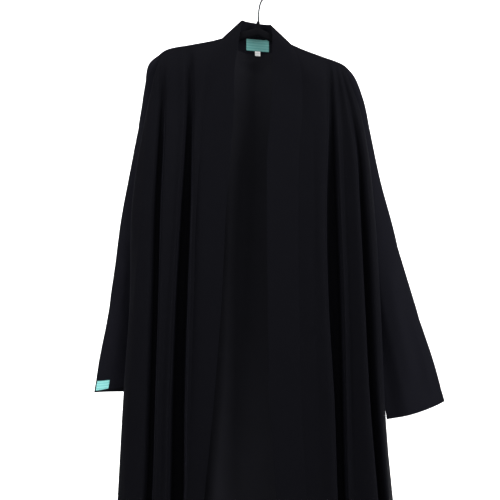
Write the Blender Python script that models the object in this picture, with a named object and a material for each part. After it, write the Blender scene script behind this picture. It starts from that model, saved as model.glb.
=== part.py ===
"""Open-front abaya cloak hanging on a plain hanger.

Metres, +Z up, the front faces -Y and the wearer's left is +X. The origin is the inside top of the
hook, where a rail carries it. The whole thing hangs about five degrees out of level.

Each cloth piece is a wall grown both ways from a grid of middle points. Rows run across the piece
and go down from the shoulder, columns follow its folds. Pieces that are sewn together share the
points of their seam, and each is then drawn back from it by half a seam gap.
"""
import math

import bmesh
import bpy
import numpy as np

MM = 0.001
CLOTH = 1.4
LABEL_CLOTH = 1.0
SEAM_GAP = 0.3
MITRE_LIMIT = 0.12
TILT = math.radians(5.0)

# Hanger, in millimetres, before it is tilted about the origin
ARM_CENTRE_TOP = -92.0
ARM_TOP = ((0, 0), (30, -11), (57, -23), (71, -29.5), (90, -35.5), (110, -41), (134, -47.5),
           (154, -52.5), (171, -59), (181, -67), (187, -75), (190, -83))
ARM_STEPS = 6
ARM_HALF_DEPTH = 5.0
ARM_THINNING = 1.4
ARM_TIP_SINK = 2.0
ARM_TIP_SHARPNESS = 8
ARM_HEIGHT_MIDDLE = 15.0
ARM_HEIGHT_TIP = 11.0
ARM_SIDES = 12
ARM_SQUARENESS = 0.7
WIRE_RADIUS = 1.8
HOOK_STEPS = 3
HOOK_PATH = ((0, -91.7), (0, -74), (-0.7, -57), (2.3, -41), (9, -32.5), (16.5, -26), (20, -17),
             (17.3, -8), (10, -0.6), (0, 1.8), (-10, -0.6), (-17.3, -8), (-19.5, -18), (-17, -29))

# How the cloth lies over the arm, and where the neck meets it
ARM_CLEARANCE = 1.3
OVER_ARM = 6.5
NECK_ON_ARM = 66.0
TIP_ON_ARM = {"left": 177.0, "right": 184.0}
SHOULDER_FOOT = -200.0
NEAR_TIP = 0.97

# Drops of the rows below the shoulder line, first round the arm, then to the underarm and the hem
DROPS = (0, 0.87, 3.25, 6.5, 14, 24, 40, 65, 100, 150, 205, 245, 260, 265,
         320, 385, 460, 545, 640, 740, 850, 970, 1090, 1210, 1330, 1440)
UNDERARM_ROW = 13
LEVEL_TOP = -142.0
LEVEL_SLOPE = -0.03
SETTLED_DROP = 500.0

# Depth of each fold below the shoulder, at these depths under the origin. The first is a drop.
UNDER_SHOULDER = 22
LEVELS = (240, 326, 422, 614, 806, 998, 1580)
STEPS_ACROSS = 2

# Distance of each fold line from the origin's plane, from the band seam to the side:
# start along the shoulder (0 neck, 1 tip), under the shoulder, then at each level.
FOLDS = {
    "left": {
        "seam": (0.00, 66, 77, 71, 69, 70, 74, 85, 108),
        "swell": (0.20, 83, 96, 94, 93, 95, 104, 112, 140),
        "crest_a": (0.56, 119, 122.5, 121.5, 119, 121.5, 132.5, 138.5, 174),
        "trough_in": (0.63, 126.5, 129, 127.5, 125.5, 129, 139.5, 146, 183),
        "trough_out": (0.67, 130.5, 134, 135, 139, 146.5, 152, 157, 197),
        "crest_b": (0.72, 135.5, 141, 146, 149, 156, 160, 164, 208),
        "dip": (0.775, 142, 149, 154, 157, 164, 168, 174, 220),
        "crest_c": (0.825, 148, 160, 175, 184, 195.5, 205, 218, 262),
        "valley_c": (0.86, 152.5, 167, 184, 190.5, 201, 212, 226, 273),
        "crest_d": (0.895, 157.5, 176, 195, 205, 218, 227, 240, 290),
        "turn": (0.93, 162, 183, 201, 212, 225, 234, 248, 300),
    },
    "right": {
        "seam": (0.00, 88, 110, 117, 124, 130, 136, 143, 195),
        "swell": (0.15, 102, 118.5, 125, 130, 136, 141, 145, 199),
        "crest_a": (0.425, 128, 131, 135, 138, 145, 149, 149.5, 203),
        "trough_in": (0.50, 136, 138, 142, 144.5, 152.5, 157, 157.5, 211),
        "trough_out": (0.545, 141, 145, 149.5, 155, 167, 173, 175, 228),
        "crest_b": (0.61, 149, 151.5, 155.5, 161.5, 174, 181, 184, 237),
        "dip": (0.70, 162, 160, 162.5, 167.5, 181, 189, 194, 247),
        "crest_c": (0.80, 177, 184, 187, 192, 197.5, 203, 206.5, 259),
        "gap_in": (0.85, 184, 190.5, 194, 199, 204, 210, 213.5, 266),
        "gap_out": (0.88, 189, 195.5, 199.5, 205, 210, 216, 220.5, 272),
        "crest_d": (0.905, 192.5, 202, 206.5, 212.5, 217.5, 223.5, 228, 282),
        "crest_e": (0.92, 195, 210, 220, 230, 240, 251, 260, 300),
        "turn": (0.94, 197, 217, 234, 247, 252, 265, 276, 315),
    },
}
# How far each fold stands in front of the origin's plane, under the shoulder and at each level.
FOLD_DEPTHS = {
    "left": {
        "seam": (-11, -17, -21, -25, -29, -31, -33, -40),
        "swell": (-13, -22, -27, -31, -36, -38, -40, -48),
        "crest_a": (-13, -23, -31, -37, -43, -47, -50, -58),
        "trough_in": (-9.5, -11, -9, -6, -3, -1, -1, -5),
        "trough_out": (-9.5, -11, -9, -6, -3, -1, -1, -5),
        "crest_b": (-12, -17, -24, -29, -33, -36, -38, -44),
        "dip": (-11, -15, -18, -21, -24, -26, -28, -34),
        "crest_c": (-13, -20, -28, -33, -37, -41, -43, -48),
        "valley_c": (-12, -14.5, -14.5, -12, -8.5, -7, -7, -10),
        "crest_d": (-13.5, -18, -24, -28, -30, -32, -32, -36),
        "turn": (-12.5, -12, -13, -13, -12, -12, -12, -12),
    },
    "right": {
        "seam": (-11, -17, -21, -25, -29, -31, -33, -40),
        "swell": (-13, -22, -27, -31, -36, -38, -40, -48),
        "crest_a": (-13, -22, -30, -36, -43, -47, -50, -58),
        "trough_in": (-9, -10, -8, -5, -3, -1, -1, -5),
        "trough_out": (-9, -10, -8, -5, -3, -1, -1, -5),
        "crest_b": (-12, -20, -28, -33, -38, -41, -43, -50),
        "dip": (-11, -18, -25, -30, -34, -36, -38, -43),
        "crest_c": (-13, -22, -30, -35, -39, -42, -44, -48),
        "gap_in": (-11.5, -12.5, -12.5, -12, -10.5, -10.5, -10.5, -13),
        "gap_out": (-11.5, -12.5, -12.5, -12, -10.5, -10.5, -10.5, -13),
        "crest_d": (-13, -20, -27, -31, -34, -35, -35, -38),
        "crest_e": (-13.5, -19, -25, -28, -30, -31, -31, -34),
        "turn": (-12.5, -12, -13, -13, -12, -12, -12, -12),
    },
}
# Side line of the body, above the underarm the armhole: across, at the tip, under it and lower.
SIDE_LEVELS = (240, 326, 422, 518, 614, 710, 806, 902, 998, 1580)
SIDE_LINE = {
    "left": (160, 157, 152, 146, 162, 184, 204, 221, 233, 243, 296),
    "right": (195, 190, 181, 170, 173, 183, 191, 203, 226, 248, 308),
}
# Where the turned-back layer meets the side line, measured from it, by drop.
LEAD = {"drop": (0, 6.5, 14, 24, 62, 265, 455, 1440),
        "out": (-3, -3, -2, 0.3, -2, -2, 8, 8),
        "front": (0, 0, -1.2, -3, -4.5, -6, -1.5, -1.5)}
LEAD_LEVEL_DROP = 24.0
# Armhole by drop: middle depth and half depth down to the widest place.
ARMHOLE = {"drop": (0, 6.5, 18, 30, 62, 150, 265),
           "middle": (0, 0, 0, 1.5, 5, 7, 8),
           "half": (6.5, 6.5, 6.5, 6.5, 7.5, 8.5, 8.5)}
ARMHOLE_WIDEST_DROP = 150.0
SIDE_DEPTH = {"drop": (265, 455, 900, 1440), "depth": (8, 0, 0, 2)}

# Back panel: depth behind the origin's plane by level, from the middle (0) to the side line (1).
BACK_SHARES = (0, 0.18, 0.33, 0.50, 0.68, 0.86)
BACK_DEPTHS = ((26, 30, 36, 42, 44, 46, 50),
               (25, 29, 34, 40, 42, 44, 48),
               (21, 24, 28, 30, 30, 30, 32),
               (18, 24, 32, 37, 40, 43, 50),
               (13, 14, 14, 15, 16, 17, 22),
               (12, 15, 18, 21, 22, 24, 34))
BACK_COLUMNS = 8
MIDDLE_BACK = (-12.0, 24.0, -140.0)
# Seam of the neck: share of the way in from the neck point, depth behind it, share of the fall
NECKLINE = ((0, 0, 0), (0.04, 4.0, 0), (0.10, 7.4, 0.16), (0.25, 13, 0.45), (0.45, 18.5, 0.70),
            (0.70, 22.5, 0.91), (1, 24, 1))
SPREAD_DROP = 160.0

# Band: top edge of its neck part, and its free edge down the front
BAND_TOP_MIDDLE = (-12.0, 10.0, -81.0)
BAND_CORNER = {"left": (15.5, 0.0, -85.5), "right": (-38.0, 0.0, -77.0)}
BAND_COLUMNS = 3
CORNER_FALL = 70.0
EDGE_LEVELS = (100, 135, 160, 240, 326, 422, 614, 806, 998, 1580)
EDGE_LINE = {
    "left": (19, 19, 19, 18, 10, 9, 11, 14, 27, 50),
    "right": (42, 46.5, 51, 53, 59, 67, 77, 92, 111, 143),
}
EDGE_DEPTHS = {
    "left": (-9, -12, -14, -21, -26, -30, -33, -34, -34, -42),
    "right": (-9, -12, -14, -21, -25, -27, -25, -18, -8, -24),
}

# Sleeve: share of its length, middle depth and half depth there, then its two edges past the seam
RINGS = (0, 0.025, 0.07, 0.14, 0.23, 0.33, 0.44, 0.56, 0.68, 0.80, 0.91, 1.0)
SLEEVE = {
    "share": (0, 0.03, 0.10, 0.20, 0.35, 0.50, 0.65, 0.80, 0.90, 1.0),
    "middle": (8, 10, 13, 15.5, 18, 19.5, 19.5, 18.5, 17.5, 17),
    "half": (8, 8.5, 9, 10.5, 12, 12.5, 12.5, 11.5, 10.5, 9.5),
}
SLEEVE_EDGES = {
    "left": {
        "outer_across": (175, 194, 209, 229.5, 255.5, 281.5, 312, 333, 353),
        "outer_down": (182, 226, 290, 386, 483, 579, 675, 738, 811),
        "under_across": (158, 170, 182, 196, 207, 219, 230, 236, 242),
        "under_down": (431, 462, 506, 572, 638, 700, 762, 804, 846),
    },
    "right": {
        "outer_across": (214, 225, 236, 255, 273, 286, 301, 314, 324),
        "outer_down": (157, 202, 267, 365, 461, 561, 660, 724, 789),
        "under_across": (181, 190, 197, 203, 207, 210, 212, 213, 215),
        "under_down": (412, 442, 480, 540, 600, 655, 715, 757, 799),
    },
}
FLAT_TUBE = 0.6
EVEN_REACH = 0.6
SEAM_REACH = 0.25

# Labels: the neck label turned with the hanger, the tab under it, the cuff label on the sleeve
NECK_LABEL = {"x": (-30.0, 13.5), "z": (-133.4, -112.0), "columns": 9, "rows": 4}
SIZE_TAB = {"x": (-13.4, -3.0), "height": 9.0, "columns": 3}
CUFF_LABEL = {"across": (0.035, 0.27), "up": (0.974, 0.998), "columns": 6, "rows": 3}
LABEL_SLACK = 0.07

SIGN = {"left": 1.0, "right": -1.0}
SHARP_ANGLE = math.radians(50.0)
BLACK = (0.0065, 0.0068, 0.0078, 1.0)
HANGER_BLACK = (0.004, 0.004, 0.0045, 1.0)
TURQUOISE = (0.24, 0.66, 0.63, 1.0)
WHITE = (0.8, 0.8, 0.78, 1.0)
CHROME = (0.75, 0.76, 0.78, 1.0)


def smooth(value):
    """Ease from 0 to 1."""
    value = np.clip(value, 0.0, 1.0)
    return value * value * (3 - 2 * value)


def curve(at, knots, values):
    """Smooth curve through the values at rising knots."""
    knots = np.asarray(knots, float)
    values = np.asarray(values, float)
    slopes = np.gradient(values, knots, axis=0)
    index = np.clip(np.searchsorted(knots, at) - 1, 0, len(knots) - 2)
    span = knots[index + 1] - knots[index]
    share = (at - knots[index]) / span
    if values.ndim > 1:
        span, share = span[:, None], share[:, None]
    rise = share * share * (3 - 2 * share)
    start = values[index] + (values[index + 1] - values[index]) * rise
    leave = share * (1 - share) ** 2 * span * slopes[index]
    arrive = share * share * (share - 1) * span * slopes[index + 1]
    return start + leave + arrive


def through(points, steps):
    """Smooth line through the points, with the same number of steps in each span."""
    points = np.asarray(points, float)
    lengths = np.linalg.norm(np.diff(points, axis=0), axis=1)
    knots = np.concatenate(([0.0], np.cumsum(np.sqrt(lengths))))
    at = np.interp(np.arange(len(knots) * steps - steps + 1) / steps, np.arange(len(knots)), knots)
    return curve(at, knots, points)


def tilted(across, up):
    """A place of the level hanger, turned with it about the origin."""
    return (across * math.cos(TILT) + up * math.sin(TILT),
            up * math.cos(TILT) - across * math.sin(TILT))


def arm_line(side, clearance):
    """Fine line along the top of an arm, a clearance above it, as rows of across and height."""
    line = through(ARM_TOP, ARM_STEPS)
    along = np.gradient(line, axis=0)
    along /= np.linalg.norm(along, axis=1)[:, None]
    line = line + clearance * np.stack((-along[:, 1], along[:, 0]), axis=1)
    across, up = tilted(SIGN[side] * line[:, 0], line[:, 1] + ARM_CENTRE_TOP)
    return line[:, 0], np.stack((across, up), axis=1)


def shoulder_point(side, share):
    """Place on the shoulder line: 0 is the neck point and 1 the tip."""
    reach, line = arm_line(side, ARM_CLEARANCE)
    at = NECK_ON_ARM + (TIP_ON_ARM[side] - NECK_ON_ARM) * share
    return np.interp(at, reach, line[:, 0]), np.interp(at, reach, line[:, 1])


def fallen(across, top, drop):
    """Height of a point that hangs the given drop below its start at the shoulder."""
    level = LEVEL_TOP + LEVEL_SLOPE * across
    return top + (level - top) * smooth(drop / SETTLED_DROP) - drop


def over_arm(drop):
    """How far the cloth has come round the arm, in depth, for a drop inside the round."""
    return math.sqrt(max(0.0, OVER_ARM ** 2 - (OVER_ARM - min(drop, OVER_ARM)) ** 2))


def drop_over_arm(depth):
    """The drop at which the round reaches a depth."""
    return OVER_ARM - math.sqrt(max(0.0, OVER_ARM ** 2 - depth ** 2))


def fold_point(side, name, drop):
    """A fold line of a front panel at one row."""
    share, *places = FOLDS[side][name]
    across, top = shoulder_point(side, share)
    height = fallen(across, top, drop)
    levels = (-top, UNDER_SHOULDER - top, *LEVELS)
    out = curve(-height, levels, (across, *(SIGN[side] * place for place in places)))
    if drop <= OVER_ARM:
        return out, -over_arm(drop), height
    levels = (OVER_ARM - top, *levels[1:])
    return out, curve(-height, levels, (-OVER_ARM, *FOLD_DEPTHS[side][name])), height


def side_point(side, drop, face):
    """Side line of the body: the armhole (face -1 in front, 1 behind), then the side seam."""
    across, top = shoulder_point(side, 1.0)
    height = fallen(across, top, drop)
    levels = (-top, UNDER_SHOULDER - top, *SIDE_LEVELS)
    out = curve(-height, levels, (across, *(SIGN[side] * place for place in SIDE_LINE[side])))
    underarm = DROPS[UNDERARM_ROW]
    if drop >= underarm:
        return out, curve(drop, SIDE_DEPTH["drop"], SIDE_DEPTH["depth"]), height
    middle = np.interp(drop, ARMHOLE["drop"], ARMHOLE["middle"])
    half = np.interp(drop, ARMHOLE["drop"], ARMHOLE["half"])
    if drop < OVER_ARM:
        half = over_arm(drop)
    past = max(0.0, drop - ARMHOLE_WIDEST_DROP) / (underarm - ARMHOLE_WIDEST_DROP)
    return out, middle + face * half * math.sqrt(1 - past * past), height


def front_grid(side):
    """Front panel from the band seam, over its folds and round the side fold to the side line."""
    rows = []
    near, tip = (np.array(shoulder_point(side, share)) for share in (NEAR_TIP, 1.0))
    slope = (near[1] - tip[1]) / abs(tip[0] - near[0])
    for drop in DROPS:
        points = [fold_point(side, name, drop) for name in FOLDS[side]]
        end = np.array(side_point(side, drop, -1))
        out = np.interp(drop, LEAD["drop"], LEAD["out"])
        front = np.interp(drop, LEAD["drop"], LEAD["front"])
        lift = -out * slope * (1 - smooth(drop / LEAD_LEVEL_DROP))
        lead = end + (SIGN[side] * out, front, lift)
        turned_back = (np.array(points[-1]) + lead) / 2
        rows.append(through([*points, turned_back, lead, end], STEPS_ACROSS))
    return np.array(rows)


def neckline_point(side, row):
    """Seam between the back panel and the band, by row of its table."""
    across, top = shoulder_point(side, 0.0)
    inward, behind, fall = NECKLINE[row]
    return (across + (MIDDLE_BACK[0] - across) * inward, behind,
            top + (MIDDLE_BACK[2] - top) * fall)


def back_point(side, share, start, drop):
    """A point of the back panel: share 0 in the middle and 1 on the side line, start at the top."""
    across, start_depth, top = start
    gone_round = drop_over_arm(start_depth)
    depths = [curve(min(share, BACK_SHARES[-1]), BACK_SHARES, column) for column in zip(*BACK_DEPTHS)]
    height = fallen(across, top, drop)
    side_across = side_point(side, drop, 1)[0]
    spread = MIDDLE_BACK[0] + share * (side_across - MIDDLE_BACK[0])
    out = across + (spread - across) * smooth(drop / SPREAD_DROP)
    if drop + gone_round < OVER_ARM:
        return out, over_arm(drop + gone_round), height
    levels = (OVER_ARM - gone_round - top, *LEVELS)
    return out, curve(-height, levels, (max(start_depth, OVER_ARM), *depths)), height


def back_half(side):
    """Half of the back panel, columns from the middle to the side line."""
    neck_share = BACK_SHARES[2]
    columns = []
    for row in range(len(NECKLINE) - 1, 0, -1):
        share = neck_share * (1 - NECKLINE[row][0])
        start = neckline_point(side, row)
        columns.append([back_point(side, share, start, drop) for drop in DROPS])
    for along in np.linspace(0, 1, BACK_COLUMNS + 1)[:-1]:
        share = neck_share + (1 - neck_share) * along
        across, top = shoulder_point(side, along)
        columns.append([back_point(side, share, (across, 0.0, top), drop) for drop in DROPS])
    columns.append([side_point(side, drop, 1) for drop in DROPS])
    return np.array(columns).transpose(1, 0, 2)


def back_grid():
    """Whole back panel from the wearer's left side to the right side."""
    left = back_half("left")
    right = back_half("right")
    return np.concatenate((left[:, ::-1], right[:, 1:]), axis=1)


def band_grid(side, front):
    """Band from the middle of the back, over the shoulder and down the front edge."""
    corner = np.array(BAND_CORNER[side])
    middle = np.array(BAND_TOP_MIDDLE)
    pairs = []
    for row in range(len(NECKLINE) - 1, 0, -1):
        share = NECKLINE[row][0]
        free = corner + (middle - corner) * share
        free[1] = middle[1] * math.sqrt(1 - (1 - share) ** 2)
        pairs.append((np.array(neckline_point(side, row)), free))
    lift = corner[2] - front[0, 0, 2]
    levels = (-corner[2], *EDGE_LEVELS)
    for drop, seam in zip(DROPS, front[:, 0]):
        height = seam[2] + lift * math.exp(-drop / CORNER_FALL)
        places = (corner[0], *(SIGN[side] * place for place in EDGE_LINE[side]))
        out = curve(-height, levels, places)
        depth = curve(-height, levels, (0, *EDGE_DEPTHS[side]))
        pairs.append((seam, np.array((out, depth, height))))
    grid = []
    for seam, free in pairs:
        grid.append([seam + (free - seam) * share for share in np.linspace(0, 1, BAND_COLUMNS + 1)])
    return np.array(grid)


def edge_point(side, edge, start, at):
    """Place on a sleeve's outer or under edge, in the plane of the front view."""
    across = SLEEVE_EDGES[side][edge + "_across"]
    down = SLEEVE_EDGES[side][edge + "_down"]
    return np.array((curve(at, SLEEVE["share"], (start[0], *(SIGN[side] * x for x in across))), 0,
                     curve(at, SLEEVE["share"], (start[2], *(-z for z in down)))))


def sleeve_grid(side):
    """Sleeve as rings from the armhole to the cuff; the last column repeats the first."""
    drops = np.array(DROPS[:UNDERARM_ROW + 1])
    front = np.array([side_point(side, drop, -1) for drop in drops])
    behind = np.array([side_point(side, drop, 1) for drop in drops])
    seam_shares = drops / drops[-1]
    even_shares = (1 - np.cos(np.pi * np.arange(len(drops)) / UNDERARM_ROW)) / 2
    start, end = front[0], front[-1]
    rings = []
    for at in RINGS:
        outer = edge_point(side, "outer", start, at)
        under = edge_point(side, "under", end, at)
        shares = seam_shares + (even_shares - seam_shares) * smooth(at / EVEN_REACH)
        line = outer + shares[:, None] * (under - outer)
        middle = curve(at, SLEEVE["share"], SLEEVE["middle"])
        half = curve(at, SLEEVE["share"], SLEEVE["half"])
        swell = half * (1 - (2 * shares - 1) ** 2).clip(0) ** FLAT_TUBE
        keep = 1 - smooth(at / SEAM_REACH)
        ring = []
        for seam, face in ((front, -1), (behind, 1)):
            flat = start + seam_shares[:, None] * (end - start)
            layer = line + (seam - flat) * keep * (1, 0, 1)
            layer[:, 1] = seam[:, 1] * keep + (middle + face * swell) * (1 - keep)
            if at == 0:
                layer = seam.copy()
            ring.append(layer)
        rings.append(np.concatenate((ring[0], ring[1][::-1][1:])))
    return np.array(rings)


def corner_normals(grid):
    """Unit normal of each quad of a grid."""
    down = grid[1:] - grid[:-1]
    across = grid[:, 1:] - grid[:, :-1]
    normals = np.cross(down[:, 1:] + down[:, :-1], across[1:] + across[:-1])
    return normals / np.linalg.norm(normals, axis=2)[:, :, None]


def walls(grids, facing):
    """Outer and inner points of each grid, half a cloth away, mitred where grids share points."""
    faces = {}
    for name, grid in grids.items():
        normals = corner_normals(grid) * facing[name]
        rows, columns = normals.shape[:2]
        for row in range(rows + 1):
            for column in range(columns + 1):
                around = normals[max(row - 1, 0):row + 1, max(column - 1, 0):column + 1]
                faces.setdefault(key(grid[row, column]), []).extend(around.reshape(-1, 3))
    shifts = {}
    for place, normals in faces.items():
        half = np.full(len(normals), CLOTH / 2)
        shift = np.linalg.lstsq(np.array(normals), half, rcond=MITRE_LIMIT)[0]
        if on_shoulder(place):
            shift[1] = 0
        shifts[place] = shift
    result = {}
    for name, grid in grids.items():
        shift = np.array([[shifts[key(point)] for point in row] for row in grid])
        result[name] = (grid + shift, grid - shift)
    return result


def key(point):
    """Rounded place, so that shared seam points are recognised."""
    return tuple(round(float(value), 3) for value in point)


def on_shoulder(place):
    """Whether a place lies on the seam over the arm."""
    return abs(place[1]) < 1e-3 and place[2] > SHOULDER_FOOT


def drawn_back(points, edges):
    """Points with the sewn edges drawn back by half a seam gap: top, bottom, first or last."""
    points = points.copy()
    turns = {"top": (0, 1), "bottom": (-1, -2)}
    columns = {"first": (0, 1), "last": (-1, -2)}
    for edge in edges:
        if edge in turns:
            sewn, inside = turns[edge]
            way = points[inside] - points[sewn]
            points[sewn] += way / np.linalg.norm(way, axis=1)[:, None] * SEAM_GAP / 2
        else:
            sewn, inside = columns[edge]
            way = points[:, inside] - points[:, sewn]
            points[:, sewn] += way / np.linalg.norm(way, axis=1)[:, None] * SEAM_GAP / 2
    return points


def add_object(name, bm, material):
    """Object from a bmesh, in metres, shaded smooth with sharp rims."""
    bmesh.ops.scale(bm, vec=(MM, MM, MM), verts=bm.verts)
    bmesh.ops.recalc_face_normals(bm, faces=bm.faces)
    mesh = bpy.data.meshes.new(name)
    bm.to_mesh(mesh)
    bm.free()
    mesh.materials.append(material)
    mesh.shade_smooth()
    mesh.set_sharp_from_angle(angle=SHARP_ANGLE)
    thing = bpy.data.objects.new(name, mesh)
    bpy.context.scene.collection.objects.link(thing)
    return thing


def wall(name, outer, inner, material, tube=False):
    """Closed wall between two grids of points that match row for row."""
    rows, columns = outer.shape[:2]
    bm = bmesh.new()
    row_of = bm.verts.layers.int.new("row")
    column_of = bm.verts.layers.int.new("column")
    bmesh.ops.create_grid(bm, x_segments=columns - 1, y_segments=rows - 1, size=0.5)
    for vert in bm.verts:
        row = round((vert.co.y + 0.5) * (rows - 1))
        column = round((vert.co.x + 0.5) * (columns - 1))
        vert[row_of], vert[column_of] = row, column
        vert.co = outer[row, column]
    if tube:
        bmesh.ops.remove_doubles(bm, verts=bm.verts, dist=1e-4)
    bmesh.ops.triangulate(bm, faces=bm.faces, quad_method="SHORT_EDGE")
    grown = bmesh.ops.extrude_face_region(bm, geom=bm.faces)
    for vert in grown["geom"]:
        if isinstance(vert, bmesh.types.BMVert):
            vert.co = inner[vert[row_of], vert[column_of]]
    return add_object(name, bm, material)


def plain_material(name, colour, roughness, metallic=0.0):
    """Principled material of one colour."""
    material = bpy.data.materials.new(name)
    material.use_nodes = True
    shader = material.node_tree.nodes["Principled BSDF"]
    shader.inputs["Base Color"].default_value = colour
    shader.inputs["Roughness"].default_value = roughness
    shader.inputs["Metallic"].default_value = metallic
    return material


def build_cloth(black):
    """Front panels, back, sleeves and band."""
    fronts = {side: front_grid(side) for side in SIGN}
    grids = {"back": back_grid()}
    facing = {"back": 1.0}
    edges = {"back": ("top", "first", "last")}
    for side, sign in SIGN.items():
        grids[f"front_{side}"] = fronts[side]
        facing[f"front_{side}"] = sign
        edges[f"front_{side}"] = ("top", "first", "last")
        grids[f"sleeve_{side}"] = sleeve_grid(side)
        facing[f"sleeve_{side}"] = -sign
        edges[f"sleeve_{side}"] = ("top",)
        grids[f"band_{side}"] = band_grid(side, fronts[side])
        facing[f"band_{side}"] = -sign
        edges[f"band_{side}"] = ("top", "first")
    for name, (outer, inner) in walls(grids, facing).items():
        sewn = edges[name]
        tube = name.startswith("sleeve")
        wall(name, drawn_back(outer, sewn), drawn_back(inner, sewn), black, tube)
    return grids


def band_surface(grids, across, height):
    """Place on the inside face of the neck part of the band, at a given across and height."""
    left = grids["band_left"][:len(NECKLINE)]
    right = grids["band_right"][:len(NECKLINE)]
    rows = np.concatenate((right[::-1], left[1:]))
    share = np.array([np.interp(height, row[:, 2], np.linspace(0, 1, len(row))) for row in rows])
    places = np.array([row[0] + (row[-1] - row[0]) * part for row, part in zip(rows, share)])
    return np.interp(across, places[:, 0], places[:, 1])


def build_labels(grids, turquoise, white):
    """Neck label on the band, size tab below it and cuff label on the right sleeve."""
    stand_off = CLOTH / 2 + SEAM_GAP + LABEL_CLOTH / 2 + LABEL_SLACK
    thick = np.array((0, LABEL_CLOTH / 2, 0))
    foot, head = NECK_LABEL["z"]
    centre = sum(NECK_LABEL["x"]) / 2

    def against_band(x, up):
        """Place against the band, above or below the foot of the neck label."""
        z = foot - math.tan(TILT) * (x - centre)
        return x, band_surface(grids, x, z + max(up, 0.0)) - stand_off, z + up

    across = np.linspace(*NECK_LABEL["x"], NECK_LABEL["columns"])
    heights = np.linspace(0, head - foot, NECK_LABEL["rows"])
    middle = np.array([[against_band(x, up) for x in across] for up in heights])
    wall("neck_label", middle - thick, middle + thick, turquoise)

    across = np.linspace(*SIZE_TAB["x"], SIZE_TAB["columns"])
    heights = (-SEAM_GAP, -SEAM_GAP - SIZE_TAB["height"])
    middle = np.array([[against_band(x, up) for x in across] for up in heights])
    wall("size_tab", middle - thick, middle + thick, white)

    sleeve = grids["sleeve_right"]
    columns = UNDERARM_ROW + 1
    rows = []
    for at in np.linspace(*CUFF_LABEL["up"], CUFF_LABEL["rows"]):
        ring = np.array([[np.interp(at, RINGS, sleeve[:, column, axis]) for axis in range(3)]
                         for column in range(columns)])
        shares = np.linalg.norm(ring - ring[0], axis=1)
        shares = shares / shares[-1]
        rows.append([[np.interp(part, shares, ring[:, axis]) for axis in range(3)]
                     for part in np.linspace(*CUFF_LABEL["across"], CUFF_LABEL["columns"])])
    surface = np.array(rows)
    normals = np.gradient(surface, axis=1)
    normals = np.cross(normals, np.gradient(surface, axis=0))
    normals /= np.linalg.norm(normals, axis=2)[:, :, None]
    normals *= -np.sign(normals[:, :, 1:2])
    inner = surface + normals * (CLOTH / 2 + SEAM_GAP)
    wall("cuff_label", inner + normals * LABEL_CLOTH, inner, turquoise)


def build_hanger(plastic, chrome):
    """Arms as one swept bar, and the wire hook standing on it."""
    reach, right = arm_line("left", 0.0)
    left = arm_line("right", 0.0)[1]
    line = np.concatenate((left[:0:-ARM_STEPS], right[::ARM_STEPS]))
    share = np.concatenate((reach[:0:-ARM_STEPS], reach[::ARM_STEPS])) / reach[-1]
    heights = ARM_HEIGHT_MIDDLE + (ARM_HEIGHT_TIP - ARM_HEIGHT_MIDDLE) * share
    depths = ARM_HALF_DEPTH - ARM_THINNING * share ** 3
    line[:, 1] -= ARM_TIP_SINK * share ** ARM_TIP_SHARPNESS
    bm = bmesh.new()
    angles = np.arange(ARM_SIDES) * 2 * math.pi / ARM_SIDES
    along = np.gradient(line, axis=0)
    along /= np.linalg.norm(along, axis=1)[:, None]
    rings = []
    for (x, z), (run, rise), height, half_depth in zip(line, along, heights, depths):
        down = np.array((rise, 0.0, -run))
        centre = np.array((x, 0.0, z)) + down * height / 2
        ring = []
        for angle in angles:
            round_up = math.copysign(abs(math.cos(angle)) ** ARM_SQUARENESS, math.cos(angle))
            deep = math.copysign(abs(math.sin(angle)) ** ARM_SQUARENESS, math.sin(angle))
            place = centre + down * height / 2 * round_up + np.array((0, half_depth * deep, 0))
            ring.append(bm.verts.new(place))
        rings.append(ring)
    for first, second in zip(rings, rings[1:]):
        for index in range(ARM_SIDES):
            after = (index + 1) % ARM_SIDES
            bm.faces.new((first[index], first[after], second[after], second[index]))
    bm.faces.new(rings[0])
    bm.faces.new(rings[-1])
    add_object("hanger_arms", bm, plastic)

    bar = bpy.data.curves.new("hanger_hook", "CURVE")
    bar.dimensions = "3D"
    bar.bevel_depth = WIRE_RADIUS * MM
    bar.bevel_resolution = 2
    bar.use_fill_caps = True
    path = through([tilted(*place) for place in HOOK_PATH], HOOK_STEPS)
    spline = bar.splines.new("POLY")
    spline.points.add(len(path) - 1)
    for point, (across, up) in zip(spline.points, path):
        point.co = (across * MM, 0.0, up * MM, 1.0)
    bar.materials.append(chrome)
    hook = bpy.data.objects.new("hanger_hook", bar)
    bpy.context.scene.collection.objects.link(hook)


def main():
    for thing in list(bpy.data.objects):
        bpy.data.objects.remove(thing, do_unlink=True)
    grids = build_cloth(plain_material("black_cloth", BLACK, 0.85))
    build_labels(grids, plain_material("turquoise_label", TURQUOISE, 0.7),
                 plain_material("white_tab", WHITE, 0.7))
    build_hanger(plain_material("hanger_black", HANGER_BLACK, 0.5),
                 plain_material("chrome", CHROME, 0.15, 1.0))


main()
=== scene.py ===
"""Looks of an open-front abaya cloak that hangs on a plain hanger.

Metres, +Z up, the front faces -Y and the wearer's left is +X, as in the CAD frame. The tables are in
millimetres. Each cloth piece is a thin shell on the form of its solid, with finer rows and columns,
its creases, its sewn seams and its turned hems.
"""

import math

import bmesh
import bpy
import numpy as np
from mathutils import Matrix, Vector


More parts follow.
